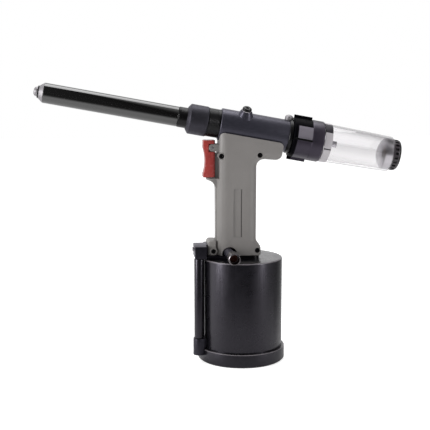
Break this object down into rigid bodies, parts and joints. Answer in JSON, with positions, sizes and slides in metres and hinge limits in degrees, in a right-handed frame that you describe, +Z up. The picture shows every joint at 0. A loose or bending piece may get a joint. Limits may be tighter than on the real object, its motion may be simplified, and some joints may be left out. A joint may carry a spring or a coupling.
{
  "type": "pneumatic blind riveter",
  "caption": "Air-hydraulic blind riveter with a long nose tube, pistol grip, upright air cylinder and clear mandrel bottle",
  "frame": {"origin": "centre of the base cap's underside, on the air cylinder's axis", "axes": "+Z up along the air cylinder, -X toward the nose, -Y toward the side with the air inlet"},
  "size_m": [0.4543, 0.1232, 0.3475],
  "materials": {
    "gloss_black": "gloss black enamel",
    "satin_black": "satin black anodised aluminium",
    "black_steel": "black oxide steel",
    "grey_shell": "fine matte grey",
    "red_trigger": "satin red",
    "bright_steel": "turned steel",
    "bright_aluminium": "machined aluminium",
    "bronze": "plain bronze",
    "sintered": "sintered bronze",
    "rubber_black": "matte black",
    "clear_plastic": "clear gloss",
    "cap_plastic": "satin black moulding"
  },
  "bodies": {
    "housing": {"base_cap": "gloss_black", "base_seal": "rubber_black", "air_cylinder": "gloss_black", "ram_gland": "bronze", "hydraulic_tube": "black_steel", "handle_left": "grey_shell", "handle_right": "grey_shell", "handle_screws": "black_steel", "pilot_valve_body": "bronze", "pilot_spring": "bright_steel", "main_valve_body": "satin_black", "valve_spring": "bright_steel", "valve_plug": "bright_steel", "valve_block": "grey_shell", "block_screw": "black_steel", "manifold_block": "satin_black", "manifold_plug": "bright_steel", "transfer_tube": "gloss_black", "transfer_seals": "rubber_black", "lower_tube_block": "satin_black", "trigger_pin": "bright_steel", "inlet_body": "satin_black", "head_barrel": "satin_black", "oil_washer": "bright_steel", "oil_screw": "black_steel", "head_neck": "gloss_black", "rod_seal": "rubber_black", "front_nut": "satin_black", "nose_coupling": "black_steel", "nose_tube": "gloss_black", "nose_cap": "bright_steel", "nose_ring": "rubber_black", "nosepiece": "bright_steel", "return_spring": "bright_steel", "rear_bush": "bronze", "lock_ring": "black_steel", "lock_screw": "bright_steel"},
    "air_ram": {"air_piston": "bright_aluminium", "air_piston_seal": "rubber_black", "ram": "bright_steel", "ram_nut": "bright_steel"},
    "puller": {"pull_piston": "bright_steel", "pull_piston_seal": "rubber_black", "draw_bar": "bright_steel", "jaw_housing": "bright_steel", "mandrel_tube": "bright_aluminium", "jaw_spring": "bright_steel"},
    "jaw_set": {"jaws": "bright_steel", "jaw_pusher": "bright_steel"},
    "trigger_lever": {"trigger": "red_trigger"},
    "pilot_pin": {"pilot_stem": "bright_steel"},
    "main_spool": {"valve_spool": "bright_steel"},
    "inlet_end": {"inlet_swivel": "bright_steel", "inlet_filter": "sintered"},
    "collar": {"rear_collar": "satin_black"},
    "collector": {"bottle_ring": "bright_steel", "bottle": "clear_plastic"},
    "bottle_cap": {"bottle_insert": "bright_aluminium", "end_cap": "cap_plastic"}
  },
  "joints": [
    {"name": "ram_lift", "type": "slide", "parent": "housing", "child": "air_ram", "axis": [0, 0, 1], "range_m": [0, 0.054]},
    {"name": "pull", "type": "slide", "parent": "housing", "child": "puller", "axis": [0.9839, 0, -0.1788], "range_m": [0, 0.0241], "stiffness_N_per_m": 2500, "springref_m": -0.012, "deforming": ["return_spring"]},
    {"name": "jaw_close", "type": "slide", "parent": "puller", "child": "jaw_set", "axis": [-0.9839, 0, 0.1788], "range_m": [0, 0.0015], "deforming": ["jaw_spring"]},
    {"name": "trigger_pull", "type": "hinge", "parent": "housing", "child": "trigger_lever", "pos_m": [-0.0375, 0, 0.2678], "axis": [0, -1, 0], "range_deg": [0, 5.5], "stiffness_Nm_per_rad": 1.5, "springref_deg": -6.88},
    {"name": "pilot_press", "type": "slide", "parent": "housing", "child": "pilot_pin", "axis": [1, 0, 0], "range_m": [0, 0.0025], "deforming": ["pilot_spring"]},
    {"name": "spool_shift", "type": "slide", "parent": "housing", "child": "main_spool", "axis": [0, 0, 1], "range_m": [0, 0.004], "deforming": ["valve_spring"]},
    {"name": "inlet_turn", "type": "hinge", "parent": "housing", "child": "inlet_end", "pos_m": [-0.01689, -0.05995, 0.1391], "axis": [0.0419, -0.9991, 0], "continuous": true},
    {"name": "collar_turn", "type": "hinge", "parent": "housing", "child": "collar", "pos_m": [0.07871, 0, 0.2773], "axis": [0.9839, 0, -0.1788], "range_deg": [0, 45]},
    {"name": "bottle_turn", "type": "hinge", "parent": "collar", "child": "collector", "pos_m": [0.11807, 0, 0.27014], "axis": [0.9839, 0, -0.1788], "continuous": true},
    {"name": "cap_turn", "type": "hinge", "parent": "collector", "child": "bottle_cap", "pos_m": [0.19186, 0, 0.25673], "axis": [0.9839, 0, -0.1788], "continuous": true}
  ],
  "couplings": [
    {"joint": "pull", "follows": "ram_lift", "ratio": 0.4444},
    {"joint": "jaw_close", "follows": "ram_lift", "ratio": 0.0277},
    {"joint": "pilot_press", "follows": "trigger_pull", "m_per_rad": 0.025},
    {"joint": "spool_shift", "follows": "trigger_pull", "m_per_rad": 0.0415}
  ]
}
